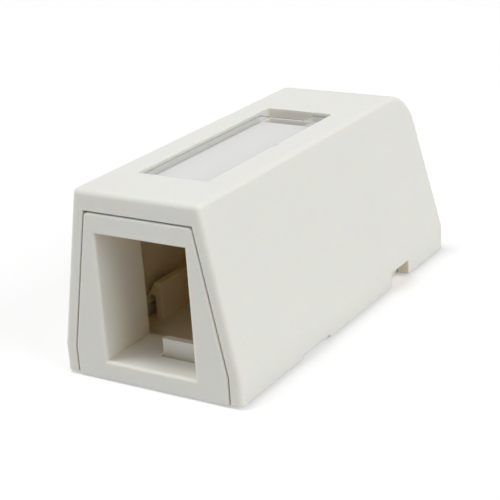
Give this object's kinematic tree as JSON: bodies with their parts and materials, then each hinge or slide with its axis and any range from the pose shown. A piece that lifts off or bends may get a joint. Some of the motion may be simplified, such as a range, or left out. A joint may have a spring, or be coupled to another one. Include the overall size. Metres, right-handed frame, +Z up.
{
  "type": "surface mount jack box",
  "caption": "Small white surface box for a modular network jack: a base with the jack's port in its front frame, a clip-on cover with a label strip, and adhesive pads below.",
  "frame": {"origin": "bottom centre of the whole box, on the underside of the release liners", "axes": "+Z up, away from the wall or desk; the jack's port faces -Y and the long axis runs along Y; +X to the right seen from the front"},
  "size_m": [0.0292, 0.0642, 0.028],
  "materials": {
    "housing_plastic": "fine satin texture, off-white ABS",
    "clear_strip": "clear polycarbonate, smooth",
    "label_paper": "uncoated white card",
    "foam": "closed-cell foam with adhesive faces",
    "liner_paper": "silicone-coated release paper"
  },
  "bodies": {
    "base": {"base": "housing_plastic", "foam_pad_front": "foam", "foam_pad_rear": "foam", "release_liner_front": "liner_paper", "release_liner_rear": "liner_paper"},
    "cover": {"cover": "housing_plastic", "label_card": "label_paper"},
    "label_cover": {"label_cover": "clear_strip"}
  },
  "joints": [
    {"name": "cover_lift", "type": "slide", "parent": "base", "child": "cover", "axis": [0, 0, 1], "range_m": [0, 0.032]},
    {"name": "label_cover_lift", "type": "slide", "parent": "cover", "child": "label_cover", "axis": [0, 0, 1], "range_m": [0, 0.008]}
  ]
}
